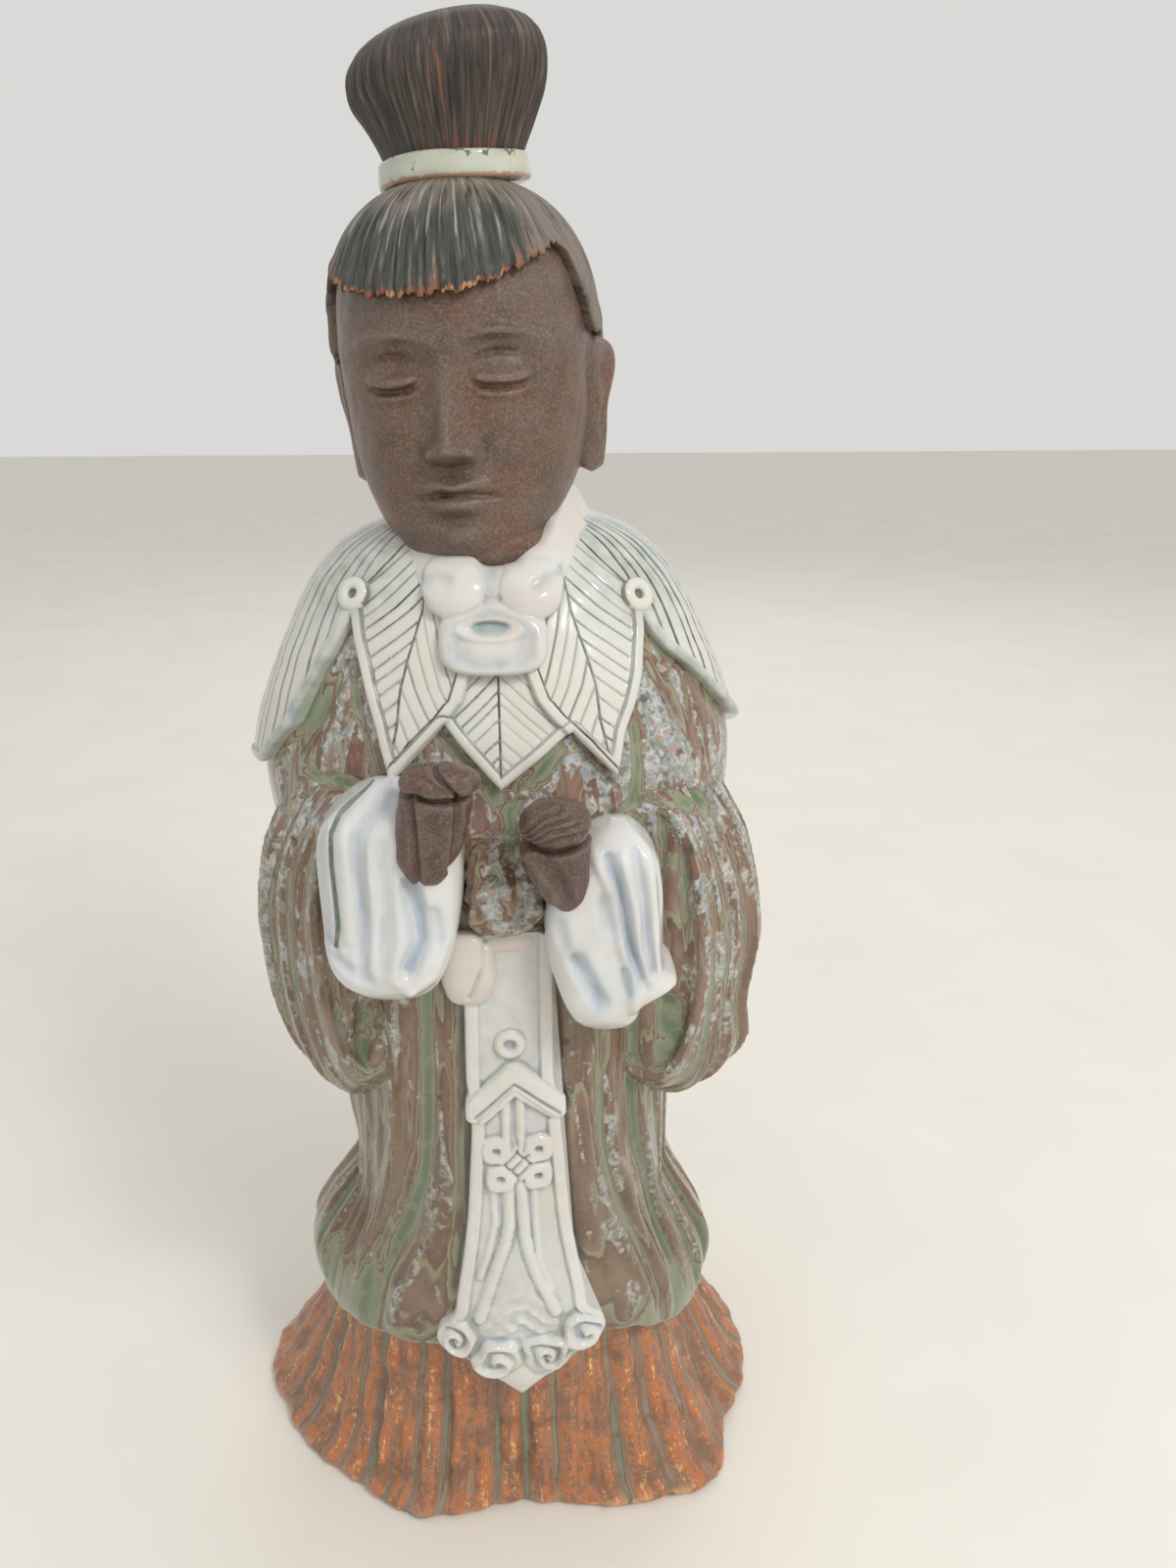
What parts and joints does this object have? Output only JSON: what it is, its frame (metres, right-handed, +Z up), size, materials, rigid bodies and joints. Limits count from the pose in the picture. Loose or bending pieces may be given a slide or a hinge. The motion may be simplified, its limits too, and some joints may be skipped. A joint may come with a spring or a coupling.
{
  "type": "glazed stoneware figure",
  "caption": "Standing robed figure in glazed stoneware with a topknot, leaf collar, long sleeves, raised hands and a pleated underskirt.",
  "frame": {"origin": "middle of the box round the figure, on the flat underside that it stands on", "axes": "+Z up; the figure faces -Y, and +X is on the right of someone facing it"},
  "size_m": [0.1218, 0.1046, 0.2995],
  "materials": {
    "glazed_stoneware": "fired stoneware: glossy mottled brown and green glaze on the robe, glossy pale celadon glaze on the leaf collar, cuffs and front panel, rust-brown glaze on the underskirt, and bare dark brown clay on the head and hands"
  },
  "bodies": {
    "root": {"figure": "glazed_stoneware"}
  },
  "joints": []
}
